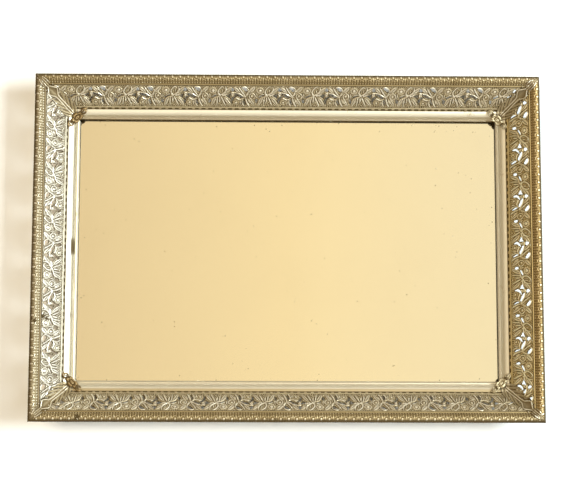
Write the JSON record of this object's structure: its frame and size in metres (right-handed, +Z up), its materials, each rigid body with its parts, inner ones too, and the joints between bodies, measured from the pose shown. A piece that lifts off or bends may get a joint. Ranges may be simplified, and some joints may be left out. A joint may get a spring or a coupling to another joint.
{
  "type": "vanity tray",
  "caption": "Rectangular mirrored dresser tray with a flared, pierced metal gallery of scrolling flowers, a fluted rolled rim and a leaf over each corner.",
  "frame": {"origin": "middle of the tray on the surface it stands on", "axes": "+Z up, X along the long sides, -Y towards the front"},
  "size_m": [0.432, 0.296, 0.043],
  "materials": {
    "mirror": "silvered float glass, lightly aged",
    "board": "pressed board",
    "felt": "napped felt",
    "gilt_moulding": "pale gold wash, rubbed smooth",
    "gilt_filigree": "antiqued gold wash, dark in the recesses",
    "gilt_leaf": "antiqued gold wash, dark in the recesses"
  },
  "bodies": {
    "root": {"felt_sheet": "felt", "backing_board": "board", "mirror_plate": "mirror", "moulding_front": "gilt_moulding", "moulding_right": "gilt_moulding", "moulding_back": "gilt_moulding", "moulding_left": "gilt_moulding", "gallery_front": "gilt_filigree", "gallery_right": "gilt_filigree", "gallery_back": "gilt_filigree", "gallery_left": "gilt_filigree", "corner_leaf_front_right": "gilt_leaf", "corner_leaf_back_right": "gilt_leaf", "corner_leaf_back_left": "gilt_leaf", "corner_leaf_front_left": "gilt_leaf"}
  },
  "joints": []
}
